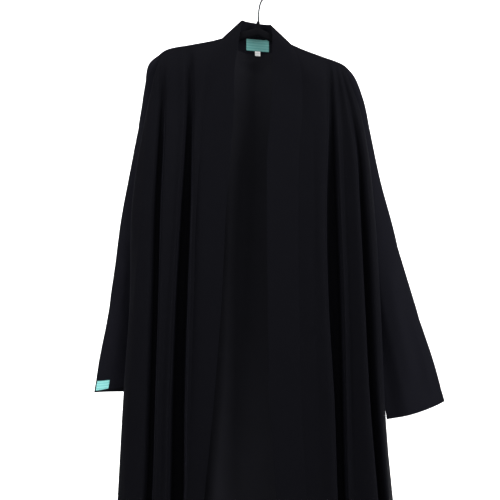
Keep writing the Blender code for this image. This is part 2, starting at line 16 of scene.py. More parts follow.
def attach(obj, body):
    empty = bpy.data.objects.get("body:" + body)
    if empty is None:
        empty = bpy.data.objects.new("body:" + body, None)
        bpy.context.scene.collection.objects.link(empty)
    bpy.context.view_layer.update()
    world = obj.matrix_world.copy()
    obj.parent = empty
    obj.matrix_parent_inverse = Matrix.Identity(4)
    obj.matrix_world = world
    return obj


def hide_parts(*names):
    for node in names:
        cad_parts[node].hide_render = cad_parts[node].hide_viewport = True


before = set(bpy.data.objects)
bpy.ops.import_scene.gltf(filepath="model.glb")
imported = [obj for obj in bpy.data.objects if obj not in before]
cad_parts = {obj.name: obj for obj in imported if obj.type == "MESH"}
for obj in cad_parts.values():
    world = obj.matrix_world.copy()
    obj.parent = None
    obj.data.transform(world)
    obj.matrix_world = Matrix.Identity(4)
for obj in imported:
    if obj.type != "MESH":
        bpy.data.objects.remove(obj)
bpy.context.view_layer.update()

MM = 0.001
TILT = math.radians(5.0)
SIGN = {"left": 1.0, "right": -1.0}

# Hanger, before it is tilted about the origin
ARM_CENTRE_TOP = -92.0
ARM_TOP = ((0, 0), (30, -11), (57, -23), (71, -29.5), (90, -35.5), (110, -41), (134, -47.5),
           (154, -52.5), (171, -59), (181, -67), (187, -75), (190, -83))
ARM_STEPS = 6
ARM_HALF_DEPTH = 5.0
ARM_THINNING = 1.4
ARM_TIP_SINK = 2.0
ARM_TIP_SHARPNESS = 8
ARM_HEIGHT_MIDDLE = 15.0
ARM_HEIGHT_TIP = 11.0
ARM_SIDES = 24
ARM_SQUARENESS = 0.7
WIRE_RADIUS = 1.8
BOSS = {"foot": -94.0, "top": -80.0, "radius_foot": 4.2, "radius_top": 2.9, "rounding": 0.6}
HOOK_STEPS = 8
HOOK_PATH = ((0, -91.7), (0, -74), (-0.7, -57), (2.3, -41), (9, -32.5), (16.5, -26), (20, -17),
             (17.3, -8), (10, -0.6), (0, 1.8), (-10, -0.6), (-17.3, -8), (-19.5, -18), (-17, -29))

# How the cloth lies over the arm, and where the neck meets it
ARM_CLEARANCE = 1.3
OVER_ARM = 6.5
NECK_ON_ARM = 66.0
TIP_ON_ARM = {"left": 177.0, "right": 184.0}
NEAR_TIP = 0.97

# Drops of the solid's rows below the shoulder line, and how close the shell's own rows lie
DROPS = (0, 0.87, 3.25, 6.5, 14, 24, 40, 65, 100, 150, 205, 245, 260, 265,
         320, 385, 460, 545, 640, 740, 850, 970, 1090, 1210, 1330, 1440)
UNDERARM_DROP = 265.0
ROW_PITCH = 8.0
LEVEL_TOP = -142.0
LEVEL_SLOPE = -0.03
SETTLED_DROP = 500.0

# Where the columns of the fold tables lie: a drop below the shoulder, then depths under the origin
UNDER_SHOULDER = 22
LEVELS = (240, 326, 422, 614, 806, 998, 1580)
STEPS_ACROSS = 8

# Distance of each fold line from the origin's plane, from the band seam to the side:
# start along the shoulder (0 neck, 1 tip), under the shoulder, then at each level.
FOLDS = {
    "left": {
        "seam": (0.00, 66, 77, 71, 69, 70, 74, 85, 108),
        "swell": (0.20, 83, 96, 94, 93, 95, 104, 112, 140),
        "crest_a": (0.56, 119, 122.5, 121.5, 119, 121.5, 132.5, 138.5, 174),
        "trough_in": (0.63, 126.5, 129, 127.5, 125.5, 129, 139.5, 146, 183),
        "trough_out": (0.67, 130.5, 134, 135, 139, 146.5, 152, 157, 197),
        "crest_b": (0.72, 135.5, 141, 146, 149, 156, 160, 164, 208),
        "dip": (0.775, 142, 149, 154, 157, 164, 168, 174, 220),
        "crest_c": (0.825, 148, 160, 174, 181, 191, 200, 215, 262),
        "valley_c": (0.86, 152.5, 167, 182, 187.5, 197, 207.5, 223.5, 273),
        "crest_d": (0.895, 157.5, 176, 194, 203, 215, 223, 238, 290),
        "turn": (0.93, 162, 183, 201, 212, 225, 234, 248, 300),
    },
    "right": {
        "seam": (0.00, 88, 110, 117, 124, 130, 136, 143, 195),
        "swell": (0.15, 102, 118.5, 125, 130, 136, 141, 145, 199),
        "crest_a": (0.425, 128, 127, 129.5, 132, 138, 143.5, 145.5, 203),
        "trough_in": (0.50, 136, 134, 136.5, 138.5, 145.5, 151, 153, 211),
        "trough_out": (0.545, 141, 141.5, 145, 150.5, 161.5, 168, 171.5, 228),
        "crest_b": (0.61, 149, 148, 151.5, 158, 169, 177, 181, 237),
        "dip": (0.70, 162, 160, 162.5, 167.5, 181, 189, 194, 247),
        "crest_c": (0.80, 177, 180.5, 183, 187.5, 193, 198.5, 204.5, 259),
        "gap_in": (0.85, 184, 187, 190, 194.5, 199.5, 205.5, 211.5, 266),
        "gap_out": (0.88, 189, 192.5, 196.5, 201.5, 206.5, 212.5, 219, 272),
        "crest_d": (0.905, 192.5, 199, 203.5, 209, 214.5, 220.5, 227, 282),
        "crest_e": (0.92, 195, 210, 220, 230, 240, 251, 260, 300),
        "turn": (0.94, 197, 217, 234, 247, 252, 265, 276, 315),
    },
}
# How far each fold stands in front of the origin's plane, under the shoulder and at each level.
FOLD_DEPTHS = {
    "left": {
        "seam": (-11, -17, -21, -25, -29, -31, -33, -40),
        "swell": (-13, -22, -27, -31, -36, -38, -40, -48),
        "crest_a": (-13, -23, -31, -37, -43, -47, -50, -58),
        "trough_in": (-9.5, -11, -9, -6, -3, -1, -1, -5),
        "trough_out": (-9.5, -11, -9, -6, -3, -1, -1, -5),
        "crest_b": (-12, -17, -24, -29, -33, -36, -38, -44),
        "dip": (-11, -15, -18, -21, -24, -26, -28, -34),
        "crest_c": (-13, -20, -28, -33, -37, -41, -43, -48),
        "valley_c": (-12, -14.5, -14.5, -12, -8.5, -7, -7, -10),
        "crest_d": (-13.5, -18, -24, -28, -30, -32, -32, -36),
        "turn": (-12.5, -12, -13, -13, -12, -12, -12, -12),
    },
    "right": {
        "seam": (-11, -17, -21, -25, -29, -31, -33, -40),
        "swell": (-13, -22, -27, -31, -36, -38, -40, -48),
        "crest_a": (-13, -22, -30, -36, -43, -47, -50, -58),
        "trough_in": (-9, -10, -8, -5, -3, -1, -1, -5),
        "trough_out": (-9, -10, -8, -5, -3, -1, -1, -5),
        "crest_b": (-12, -20, -28, -33, -38, -41, -43, -50),
        "dip": (-11, -18, -25, -30, -34, -36, -38, -43),
        "crest_c": (-13, -22, -30, -35, -39, -42, -44, -48),
        "gap_in": (-11.5, -12.5, -12.5, -12, -10.5, -10.5, -10.5, -13),
        "gap_out": (-11.5, -12.5, -12.5, -12, -10.5, -10.5, -10.5, -13),
        "crest_d": (-13, -20, -27, -31, -34, -35, -35, -38),
        "crest_e": (-13.5, -19, -25, -28, -30, -31, -31, -34),
        "turn": (-12.5, -12, -13, -13, -12, -12, -12, -12),
    },
}
# Side line of the body, above the underarm the armhole: across, at the tip, under it and lower.
SIDE_LEVELS = (240, 326, 422, 518, 614, 710, 806, 902, 998, 1580)
SIDE_LINE = {
    "left": (160, 157, 152, 146, 162, 184, 204, 221, 233, 243, 296),
    "right": (195, 190, 181, 170, 173, 183, 191, 203, 226, 248, 308),
}
# Where the turned-back layer meets the side line, measured from it, by drop.
LEAD = {"drop": (0, 6.5, 14, 24, 62, 265, 455, 1440),
        "out": (-3, -3, -2, 0.3, -2, -2, 8, 8),
        "front": (0, 0, -1.2, -3, -4.5, -6, -1.5, -1.5)}
LEAD_LEVEL_DROP = 24.0
# Armhole by drop: middle depth and half depth down to the widest place.
ARMHOLE = {"drop": (0, 6.5, 18, 30, 62, 150, 265),
           "middle": (0, 0, 0, 1.5, 5, 7, 8),
           "half": (6.5, 6.5, 6.5, 6.5, 7.5, 8.5, 8.5)}
ARMHOLE_WIDEST_DROP = 150.0
SIDE_DEPTH = {"drop": (265, 455, 900, 1440), "depth": (8, 0, 0, 2)}

# Back panel: depth behind the origin's plane by level, from the middle (0) to the side line (1).
BACK_SHARES = (0, 0.18, 0.33, 0.50, 0.68, 0.86)
BACK_DEPTHS = ((26, 30, 36, 42, 44, 46, 50),
               (25, 29, 34, 40, 42, 44, 48),
               (21, 24, 28, 30, 30, 30, 32),
               (18, 24, 32, 37, 40, 43, 50),
               (13, 14, 14, 15, 16, 17, 22),
               (12, 15, 18, 21, 22, 24, 34))
BACK_COLUMNS = 44
MIDDLE_BACK = (-12.0, 24.0, -140.0)
# Seam of the neck: share of the way in from the neck point, depth behind it, share of the fall
NECKLINE = ((0, 0, 0), (0.04, 4.0, 0), (0.10, 7.4, 0.16), (0.25, 13, 0.45), (0.45, 18.5, 0.70),
            (0.70, 22.5, 0.91), (1, 24, 1))
NECKLINE_STEPS = 4
SPREAD_DROP = 160.0

# Band: top edge of its neck part, and its free edge down the front
BAND_TOP_MIDDLE = (-12.0, 10.0, -81.0)
BAND_CORNER = {"left": (15.5, 0.0, -85.5), "right": (-38.0, 0.0, -77.0)}
BAND_COLUMNS = 20
CORNER_FALL = 70.0
EDGE_LEVELS = (100, 135, 160, 240, 326, 422, 614, 806, 998, 1580)
EDGE_LINE = {
    "left": (19, 19, 19, 18, 10, 9, 11, 14, 27, 50),
    "right": (42, 46.5, 51, 53, 59, 67, 77, 92, 111, 143),
}
EDGE_DEPTHS = {
    "left": (-9, -12, -14, -21, -26, -30, -33, -34, -34, -42),
    "right": (-9, -12, -14, -21, -25, -27, -25, -18, -8, -24),
}

# Sleeve: share of its length, middle depth and half depth there, then its two edges past the seam
RING_PITCH = 9.0
RING_SPREAD = 1.15
SLEEVE = {
    "share": (0, 0.03, 0.10, 0.20, 0.35, 0.50, 0.65, 0.80, 0.90, 1.0),
    "middle": (8, 10, 13, 15.5, 18, 19.5, 19.5, 18.5, 17.5, 17),
    "half": (8, 8.5, 9, 10.5, 12, 12.5, 12.5, 11.5, 10.5, 9.5),
}
SLEEVE_EDGES = {
    "left": {
        "outer_across": (175, 194, 209, 229.5, 255.5, 281.5, 312, 333, 353),
        "outer_down": (182, 226, 290, 386, 483, 579, 675, 738, 811),
        "under_across": (158, 170, 182, 196, 207, 219, 230, 236, 242),
        "under_down": (431, 462, 506, 572, 638, 700, 762, 804, 846),
    },
    "right": {
        "outer_across": (214, 225, 236, 255, 273, 286, 301, 314, 324),
        "outer_down": (157, 202, 267, 365, 461, 561, 660, 727, 794),
        "under_across": (181, 190, 197, 203, 207, 210, 212, 213, 215),
        "under_down": (412, 442, 480, 540, 600, 656, 711, 751, 793),
    },
}
# How far the sleeve's front layer sinks back beside the body: the share, from where and over how much
SLEEVE_SINK = {"left": (0.85, 0.62, 0.33), "right": (0.9, 0.25, 0.4)}
# How far the middle of each cuff hangs below the straight line between its edges, how far the front
# layer's hem is drawn up there, and how close to the cuff both begin
CUFF_BOW = {"left": 4.5, "right": 0.0}
CUFF_LIFT = {"left": 0.0, "right": 11.0}
LIFT_SKEW = 1.3
BOW_RISE = 6
FLAT_TUBE = 0.6
EVEN_REACH = 0.6
SEAM_REACH = 0.25

# Cloth and sewing. One crepe layer is 0.7 mm, and a turned hem or the doubled band is thicker.
CREPE = 0.7
DOUBLED = 1.5
SEAM_DIP = 0.12
SEAM_DIP_WIDTH = 3.0
SEAM_WELD = 1e-4
BAND_ROUND = 8.0
BAND_EDGE_ROUND = 2.0
BAND_EDGE_LEFT = 0.4
HEM = 32.0
CUFF_HEM = 22.0
HEM_DIP = 0.3
HEM_DIP_WIDTH = 2.0
TURNED_UNDER = 0.6
HEM_EASE = {"before": 2, "over": 3}
# Length, width and height of a stitch, and the pitch of a row in stitch lengths
STITCH_SIZE = (2.4, 0.45, 0.35)
STITCH_PITCH = 3.4
SHARP_TURN = math.radians(55.0)

# Soft creases in front view: both ends as across and height, then half width and height of relief
CREASES = {
    "sleeve_right": ((-228, -250, -251, -518, 7, 2.2), (-236, -275, -259, -545, 7, -2.4),
                     (-252, -500, -262, -640, 8, -3.0), (-270, -557, -290, -752, 13, 2.0),
                     (-300, -610, -309, -730, 12, -1.4), (-262, -585, -280, -610, 8, -1.2)),
    "sleeve_left": ((246, -560, 292, -770, 14, 2.2), (266, -600, 318, -812, 13, -2.4),
                    (232, -330, 262, -520, 9, 1.6), (243, -350, 276, -560, 9, -1.7),
                    (300, -660, 332, -790, 12, 1.2), (262, -545, 285, -562, 8, -1.0)),
    "front_right": ((-118, -330, -122, -620, 6, 0.8), (-128, -250, -132, -560, 5, -0.7),
                    (-104, -420, -108, -760, 9, -0.8), (-213, -225, -229, -450, 4, 1.6),
                    (-226, -425, -243, -640, 4, 1.6)),
    "front_left": ((98, -270, 100, -560, 5, -0.8), (107, -300, 110, -620, 4, 0.8),
                   (116, -260, 118, -590, 4, -0.8), (88, -500, 92, -760, 9, 0.8)),
    "back": ((-46, -340, -56, -640, 7, 1.2), (-34, -360, -38, -700, 8, -1.4),
             (-20, -390, -24, -640, 8, 1.0), (-44, -152, 20, -147, 5, -2.2),
             (-40, -166, 12, -171, 6, 2.2), (-130, -300, -150, -640, 13, 2.0),
             (105, -330, 122, -690, 15, 2.2), (70, -420, 74, -930, 17, -2.4),
             (-95, -520, -104, -1060, 18, -2.4), (150, -620, 168, -1080, 14, -1.8)),
}
CREASES_BEHIND = {
    "sleeve_right": ((-232, -290, -262, -560, 10, 2.0), (-250, -420, -288, -700, 12, -2.2),
                     (-246, -560, -276, -590, 8, -1.5), (-274, -640, -300, -760, 13, 1.8)),
    "sleeve_left": ((236, -300, 268, -600, 10, -2.0), (262, -470, 312, -740, 13, 2.0),
                    (246, -590, 280, -612, 8, -1.4), (300, -640, 336, -790, 12, -1.6)),
}

# Labels: the neck label turned with the hanger, the tab under it, the cuff label on the sleeve
NECK_LABEL = {"x": (-30.0, 13.5), "z": (-133.4, -112.0)}
SIZE_TAB = {"x": (-13.4, -3.0), "height": 9.0}
CUFF_LABEL = {"across": (0.035, 0.27), "up": (0.9665, 0.9945)}
LABEL_CLOTH = 0.5
LABEL_SLACK = 0.25
SEAM_GAP = 0.3
LABEL_TURN = 3.0
TURN_THICKER = 0.5
TURN_EASE = {"before": 0.5, "over": 0.8}
LABEL_STAND_OFF = 1.35
CUFF_LABEL_STAND_OFF = 0.95
LABEL_STITCH = (1.7, 0.3, 0.28)
STITCH_RAISE = 0.8
# Points across and up each label, and the line of points just inside each edge
LABEL_POINTS = {"neck": (37, 19), "tab": (13, 11), "cuff": (31, 15)}
LABEL_EDGES = {"low": 1, "high": -2, "start": np.s_[:, 1], "end": np.s_[:, -2]}

# Camera of the photograph, in metres: straight on and level, 0.96 m across the middle of the cloak
PHOTO_MIDDLE = (-0.02304, -0.5184)
CAMERA_DISTANCE = 2.2
PHOTO_WIDTH = 0.96
SENSOR_WIDTH = 36.0

# Studio in metres and watts. The wall stands well away, so that views from behind the cloak are free
FLOOR_LEVEL = -1.9
WALL_AWAY = 7.0
CORNER_ROUND = 2.0
WORLD_STRENGTH = 0.55
CLOAK_MIDDLE = (0, 0, -0.6)
WALL_MIDDLE = (0, WALL_AWAY, -0.6)
# Each light: where it stands, what it is aimed at, its width and its power
LIGHTS = {
    "key": ((-1.4, -1.15, 0.5), CLOAK_MIDDLE, 0.9, 25.0),
    "fill": ((1.45, -1.1, 0.4), CLOAK_MIDDLE, 0.9, 40.0),
    "top": ((0.0, -0.7, 1.7), CLOAK_MIDDLE, 1.2, 20.0),
    "wall": ((0.0, 3.4, 2.6), WALL_MIDDLE, 3.0, 420.0),
}


def smooth(value):
    """Ease from 0 to 1."""
    value = np.clip(value, 0.0, 1.0)
    return value * value * (3 - 2 * value)


def curve(at, knots, values):
    """Smooth curve through the values at rising knots."""
    knots = np.asarray(knots, float)
    values = np.asarray(values, float)
    slopes = np.gradient(values, knots, axis=0)
    index = np.clip(np.searchsorted(knots, at) - 1, 0, len(knots) - 2)
    span = knots[index + 1] - knots[index]
    share = (at - knots[index]) / span
    if values.ndim > 1:
        span, share = span[:, None], share[:, None]
    rise = share * share * (3 - 2 * share)
    start = values[index] + (values[index + 1] - values[index]) * rise
    leave = share * (1 - share) ** 2 * span * slopes[index]
    arrive = share * share * (share - 1) * span * slopes[index + 1]
    return start + leave + arrive


def through(points, steps):
    """Smooth line through the points, with the same number of steps in each span."""
    points = np.asarray(points, float)
    lengths = np.linalg.norm(np.diff(points, axis=0), axis=1)
    knots = np.concatenate(([0.0], np.cumsum(np.sqrt(lengths))))
    at = np.interp(np.arange(len(knots) * steps - steps + 1) / steps, np.arange(len(knots)), knots)
    return curve(at, knots, points)


def fine_rows():
    """Drops of the shell's rows: the solid's rows, split until they lie close enough."""
    rows = [DROPS[0]]
    for above, below in zip(DROPS, DROPS[1:]):
        steps = max(1, math.ceil((below - above) / ROW_PITCH))
        rows.extend(above + (below - above) * step / steps for step in range(1, steps + 1))
    return rows


ROWS = fine_rows()
UNDERARM_ROW = ROWS.index(UNDERARM_DROP)


def tilted(across, up):
    """A place of the level hanger, turned with it about the origin."""
    return (across * math.cos(TILT) + up * math.sin(TILT),
            up * math.cos(TILT) - across * math.sin(TILT))


def arm_line(side, clearance):
    """Fine line along the top of an arm, a clearance above it, as rows of across and height."""
    line = through(ARM_TOP, ARM_STEPS)
    along = np.gradient(line, axis=0)
    along /= np.linalg.norm(along, axis=1)[:, None]
    line = line + clearance * np.stack((-along[:, 1], along[:, 0]), axis=1)
    across, up = tilted(SIGN[side] * line[:, 0], line[:, 1] + ARM_CENTRE_TOP)
    return line[:, 0], np.stack((across, up), axis=1)


SHOULDERS = {side: arm_line(side, ARM_CLEARANCE) for side in SIGN}


def shoulder_point(side, share):
    """Place on the shoulder line: 0 is the neck point and 1 the tip."""
    reach, line = SHOULDERS[side]
    at = NECK_ON_ARM + (TIP_ON_ARM[side] - NECK_ON_ARM) * share
    return np.interp(at, reach, line[:, 0]), np.interp(at, reach, line[:, 1])


def fallen(across, top, drop):
    """Height of a point that hangs the given drop below its start at the shoulder."""
    level = LEVEL_TOP + LEVEL_SLOPE * across
    return top + (level - top) * smooth(drop / SETTLED_DROP) - drop


def over_arm(drop):
    """How far the cloth has come round the arm, in depth, for a drop inside the round."""
    return math.sqrt(max(0.0, OVER_ARM ** 2 - (OVER_ARM - min(drop, OVER_ARM)) ** 2))


def drop_over_arm(depth):
    """The drop at which the round reaches a depth."""
    return OVER_ARM - math.sqrt(max(0.0, OVER_ARM ** 2 - depth ** 2))


def fold_point(side, name, drop):
    """A fold line of a front panel at one row."""
    share, *places = FOLDS[side][name]
    across, top = shoulder_point(side, share)
    height = fallen(across, top, drop)
    levels = (-top, UNDER_SHOULDER - top, *LEVELS)
    out = curve(-height, levels, (across, *(SIGN[side] * place for place in places)))
    if drop <= OVER_ARM:
        return out, -over_arm(drop), height
    levels = (OVER_ARM - top, *levels[1:])
    return out, curve(-height, levels, (-OVER_ARM, *FOLD_DEPTHS[side][name])), height


def side_point(side, drop, face):
    """Side line of the body: the armhole (face -1 in front, 1 behind), then the side seam."""
    across, top = shoulder_point(side, 1.0)
    height = fallen(across, top, drop)
    levels = (-top, UNDER_SHOULDER - top, *SIDE_LEVELS)
    out = curve(-height, levels, (across, *(SIGN[side] * place for place in SIDE_LINE[side])))
    if drop >= UNDERARM_DROP:
        return out, curve(drop, SIDE_DEPTH["drop"], SIDE_DEPTH["depth"]), height
    middle = np.interp(drop, ARMHOLE["drop"], ARMHOLE["middle"])
    half = np.interp(drop, ARMHOLE["drop"], ARMHOLE["half"])
    if drop < OVER_ARM:
        half = over_arm(drop)
    past = max(0.0, drop - ARMHOLE_WIDEST_DROP) / (UNDERARM_DROP - ARMHOLE_WIDEST_DROP)
    return out, middle + face * half * math.sqrt(1 - past * past), height


def front_grid(side):
    """Front panel from the band seam, over its folds and round the side fold to the side line."""
    rows = []
    near, tip = (np.array(shoulder_point(side, share)) for share in (NEAR_TIP, 1.0))
    slope = (near[1] - tip[1]) / abs(tip[0] - near[0])
    for drop in ROWS:
        points = [fold_point(side, name, drop) for name in FOLDS[side]]
        end = np.array(side_point(side, drop, -1))
        out = np.interp(drop, LEAD["drop"], LEAD["out"])
        front = np.interp(drop, LEAD["drop"], LEAD["front"])
        lift = -out * slope * (1 - smooth(drop / LEAD_LEVEL_DROP))
        lead = end + (SIGN[side] * out, front, lift)
        turned_back = (np.array(points[-1]) + lead) / 2
        rows.append(through([*points, turned_back, lead, end], STEPS_ACROSS))
    return np.array(rows)


def neckline_point(side, row):
    """Seam between the back panel and the band, at a place between the rows of its table."""
    across, top = shoulder_point(side, 0.0)
    inward, behind, fall = (np.interp(row, range(len(NECKLINE)), column) for column in zip(*NECKLINE))
    return (across + (MIDDLE_BACK[0] - across) * inward, behind,
            top + (MIDDLE_BACK[2] - top) * fall)


def neckline_rows():
    """Places along the neck seam, from the middle of the back to just before the neck point."""
    return np.arange((len(NECKLINE) - 1) * NECKLINE_STEPS, 0, -1) / NECKLINE_STEPS


def back_point(side, share, start, drop):
    """A point of the back panel: share 0 in the middle and 1 on the side line, start at the top."""
    across, start_depth, top = start
    gone_round = drop_over_arm(min(start_depth, OVER_ARM))
    depths = [curve(min(share, BACK_SHARES[-1]), BACK_SHARES, column) for column in zip(*BACK_DEPTHS)]
    height = fallen(across, top, drop)
    side_across = side_point(side, drop, 1)[0]
    spread = MIDDLE_BACK[0] + share * (side_across - MIDDLE_BACK[0])
    out = across + (spread - across) * smooth(drop / SPREAD_DROP)
    if drop + gone_round < OVER_ARM:
        return out, over_arm(drop + gone_round), height
    levels = (OVER_ARM - gone_round - top, *LEVELS)
    return out, curve(-height, levels, (max(start_depth, OVER_ARM), *depths)), height


def back_half(side):
    """Half of the back panel, columns from the middle to the side line."""
    neck_share = BACK_SHARES[2]
    columns = []
    for row in neckline_rows():
        start = neckline_point(side, row)
        inward = np.interp(row, range(len(NECKLINE)), [line[0] for line in NECKLINE])
        share = neck_share * (1 - inward)
        columns.append([back_point(side, share, start, drop) for drop in ROWS])
    for along in np.linspace(0, 1, BACK_COLUMNS + 1)[:-1]:
        share = neck_share + (1 - neck_share) * along
        across, top = shoulder_point(side, along)
        columns.append([back_point(side, share, (across, 0.0, top), drop) for drop in ROWS])
    columns.append([side_point(side, drop, 1) for drop in ROWS])
    return np.array(columns).transpose(1, 0, 2)


def back_grid():
    """Whole back panel from the wearer's left side to the right side."""
    left = back_half("left")
    right = back_half("right")
    return np.concatenate((left[:, ::-1], right[:, 1:]), axis=1)


def band_grid(side, front):
    """Band from the middle of the back, over the shoulder and down the front edge."""
    corner = np.array(BAND_CORNER[side])
    middle = np.array(BAND_TOP_MIDDLE)
    pairs = []
    for row in neckline_rows():
        share = np.interp(row, range(len(NECKLINE)), [line[0] for line in NECKLINE])
        free = corner + (middle - corner) * share
        free[1] = middle[1] * math.sqrt(1 - (1 - share) ** 2)
        pairs.append((np.array(neckline_point(side, row)), free))
    lift = corner[2] - front[0, 0, 2]
    levels = (-corner[2], *EDGE_LEVELS)
    for drop, seam in zip(ROWS, front[:, 0]):
        height = seam[2] + lift * math.exp(-drop / CORNER_FALL)
        places = (corner[0], *(SIGN[side] * place for place in EDGE_LINE[side]))
        out = curve(-height, levels, places)
        depth = curve(-height, levels, (0, *EDGE_DEPTHS[side]))
        pairs.append((seam, np.array((out, depth, height))))
    shares = np.linspace(0, 1, BAND_COLUMNS + 1)
    return np.array([[seam + (free - seam) * share for share in shares] for seam, free in pairs])


def edge_point(side, edge, start, at):
    """Place on a sleeve's outer or under edge, in the plane of the front view."""
    across = SLEEVE_EDGES[side][edge + "_across"]
    down = SLEEVE_EDGES[side][edge + "_down"]
    return np.array((curve(at, SLEEVE["share"], (start[0], *(SIGN[side] * x for x in across))), 0,
                     curve(at, SLEEVE["share"], (start[2], *(-z for z in down)))))


def ring_places(side):
    """Shares of a sleeve's length at which its rings lie, from the armhole to the cuff."""
    top = side_point(side, ROWS[0], -1)[2]
    count = math.ceil((top + SLEEVE_EDGES[side]["outer_down"][-1]) / RING_PITCH)
    return (np.arange(count + 1) / count) ** RING_SPREAD


def sleeve_grid(side):
    """Sleeve as rings from the armhole to the cuff; the last column repeats the first."""
    drops = np.array(ROWS[:UNDERARM_ROW + 1])
    front = np.array([side_point(side, drop, -1) for drop in drops])
    behind = np.array([side_point(side, drop, 1) for drop in drops])
    seam_shares = drops / drops[-1]
    even_shares = (1 - np.cos(np.pi * np.arange(len(drops)) / UNDERARM_ROW)) / 2
    start, end = front[0], front[-1]
    rings = []
    for at in ring_places(side):
        outer = edge_point(side, "outer", start, at)
        under = edge_point(side, "under", end, at)
        shares = seam_shares + (even_shares - seam_shares) * smooth(at / EVEN_REACH)
        line = outer + shares[:, None] * (under - outer)
        line[:, 2] -= CUFF_BOW[side] * 4 * shares * (1 - shares) * at ** BOW_RISE
        middle = curve(at, SLEEVE["share"], SLEEVE["middle"])
        half = curve(at, SLEEVE["share"], SLEEVE["half"])
        swell = half * (1 - (2 * shares - 1) ** 2).clip(0) ** FLAT_TUBE
        keep = 1 - smooth(at / SEAM_REACH)
        ring = []
        sink, sink_from, sink_over = SLEEVE_SINK[side]
        sunk = 1 - sink * smooth((shares - sink_from) / sink_over)
        lift = CUFF_LIFT[side] * np.sin(math.pi * shares ** LIFT_SKEW) * at ** BOW_RISE
        for seam, face, layer_swell, rise in ((front, -1, swell * sunk, lift), (behind, 1, swell, 0)):
            flat = start + seam_shares[:, None] * (end - start)
            layer = line + (seam - flat) * keep * (1, 0, 1)
            layer[:, 2] += rise
            layer[:, 1] = seam[:, 1] * keep + (middle + face * layer_swell) * (1 - keep)
            if at == 0:
                layer = seam.copy()
            ring.append(layer)
        rings.append(np.concatenate((ring[0], ring[1][::-1][1:])))
    return np.array(rings)


def grid_normals(grid, facing, tube=False):
    """Unit normals of a grid's points, facing out."""
    down = np.gradient(grid, axis=0)
    across = np.gradient(grid, axis=1)
    if tube:
        seam = (grid[:, 1] - grid[:, -2]) / 2
        across[:, 0] = seam
        across[:, -1] = seam
    normals = np.cross(down, across) * facing
    return normals / np.linalg.norm(normals, axis=2)[:, :, None]


def run_lengths(grid):
    """Lengths along the cloth, across the rows and down the columns."""
    across = np.linalg.norm(np.diff(grid, axis=1), axis=2)
    down = np.linalg.norm(np.diff(grid, axis=0), axis=2)
    u = np.concatenate((np.zeros((len(grid), 1)), np.cumsum(across, axis=1)), axis=1)
    v = np.concatenate((np.zeros((1, grid.shape[1])), np.cumsum(down, axis=0)), axis=0)
    return u, v


def dip(distance, width=SEAM_DIP_WIDTH):
    """Shape of a sewn line: 1 on it and nothing a few widths away."""
    return np.exp(-(distance / width) ** 2)


def creased(grid, lines):
    """Relief of soft creases over a grid, each fading towards its ends."""
    relief = np.zeros(grid.shape[:2])
    across, height = grid[:, :, 0], grid[:, :, 2]
    for start_x, start_z, end_x, end_z, width, lift in lines:
        run_x, run_z = end_x - start_x, end_z - start_z
        along = ((across - start_x) * run_x + (height - start_z) * run_z) / (run_x ** 2 + run_z ** 2)
        along = along.clip(0, 1)
        distance = np.hypot(across - start_x - along * run_x, height - start_z - along * run_z)
        relief += lift * dip(distance, width) * np.sqrt(4 * along * (1 - along))
    return relief


def add_object(name, bm, materials):
    """Finished piece from a bmesh in millimetres, riding with the garment."""
    bmesh.ops.scale(bm, vec=(MM, MM, MM), verts=bm.verts)
    for face in bm.faces:
        face.smooth = True
    mesh = bpy.data.meshes.new(name)
    bm.to_mesh(mesh)
    bm.free()
    for material in materials:
        mesh.materials.append(material)
    thing = bpy.data.objects.new(name, mesh)
    bpy.context.scene.collection.objects.link(thing)
    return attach(thing, "root")


def shell(name, outer, inner, lengths, materials, front_columns=0):
    """Closed shell of cloth between two grids of points, with its weave's lengths as UV.

    The first material is its outer face and rims, the last one its inner face. A tube has front
    columns, and those are in the second material.
    """
    rows, columns = outer.shape[:2]
    bm = bmesh.new()
    uv = bm.loops.layers.uv.new("weave")
    row_of = bm.verts.layers.int.new("row")
    column_of = bm.verts.layers.int.new("column")
    bmesh.ops.create_grid(bm, x_segments=columns - 1, y_segments=rows - 1, size=0.5)
    for vert in bm.verts:
        vert[row_of] = round((vert.co.y + 0.5) * (rows - 1))
        vert[column_of] = round((vert.co.x + 0.5) * (columns - 1))
    for face in bm.faces:
        for loop in face.loops:
            place = loop.vert[row_of], loop.vert[column_of]
            loop[uv].uv = (lengths[0][place] * MM, lengths[1][place] * MM)
        if front_columns and all(vert[column_of] <= front_columns for vert in face.verts):
            face.material_index = 1
    for vert in bm.verts:
        vert.co = outer[vert[row_of], vert[column_of]]
    if front_columns:
        bmesh.ops.remove_doubles(bm, verts=bm.verts, dist=SEAM_WELD)
    grown = bmesh.ops.extrude_face_region(bm, geom=bm.faces[:], use_keep_orig=True)
    for part in grown["geom"]:
        if isinstance(part, bmesh.types.BMVert):
            part.co = inner[part[row_of], part[column_of]]
        elif isinstance(part, bmesh.types.BMFace):
            part.material_index = len(materials) - 1
    bmesh.ops.recalc_face_normals(bm, faces=bm.faces)
    for edge in bm.edges:
        edge.smooth = edge.calc_face_angle() < SHARP_TURN
    return add_object(name, bm, materials)


def tint(code):
    """An sRGB hex value as linear RGBA."""
    channels = [int(code[at:at + 2], 16) / 255 for at in (1, 3, 5)]
    linear = [c / 12.92 if c <= 0.04045 else ((c + 0.055) / 1.055) ** 2.4 for c in channels]
    return (*linear, 1.0)


def add_node(tree, kind, settings=None, sockets=None, links=None):
    """A shader node with its settings, its socket values and its incoming links."""
    node = tree.nodes.new(kind)
    for name, value in (settings or {}).items():
        setattr(node, name, value)
    for name, value in (sockets or {}).items():
        node.inputs[name].default_value = value
    for name, source in (links or {}).items():
        tree.links.new(source, node.inputs[name])
    return node


def new_material(name, sockets):
    """Principled material with values set on its own sockets."""
    material = bpy.data.materials.new(name)
    material.use_nodes = True
    shader = material.node_tree.nodes["Principled BSDF"]
    for socket, value in sockets.items():
        shader.inputs[socket].default_value = value
    return material, material.node_tree, shader


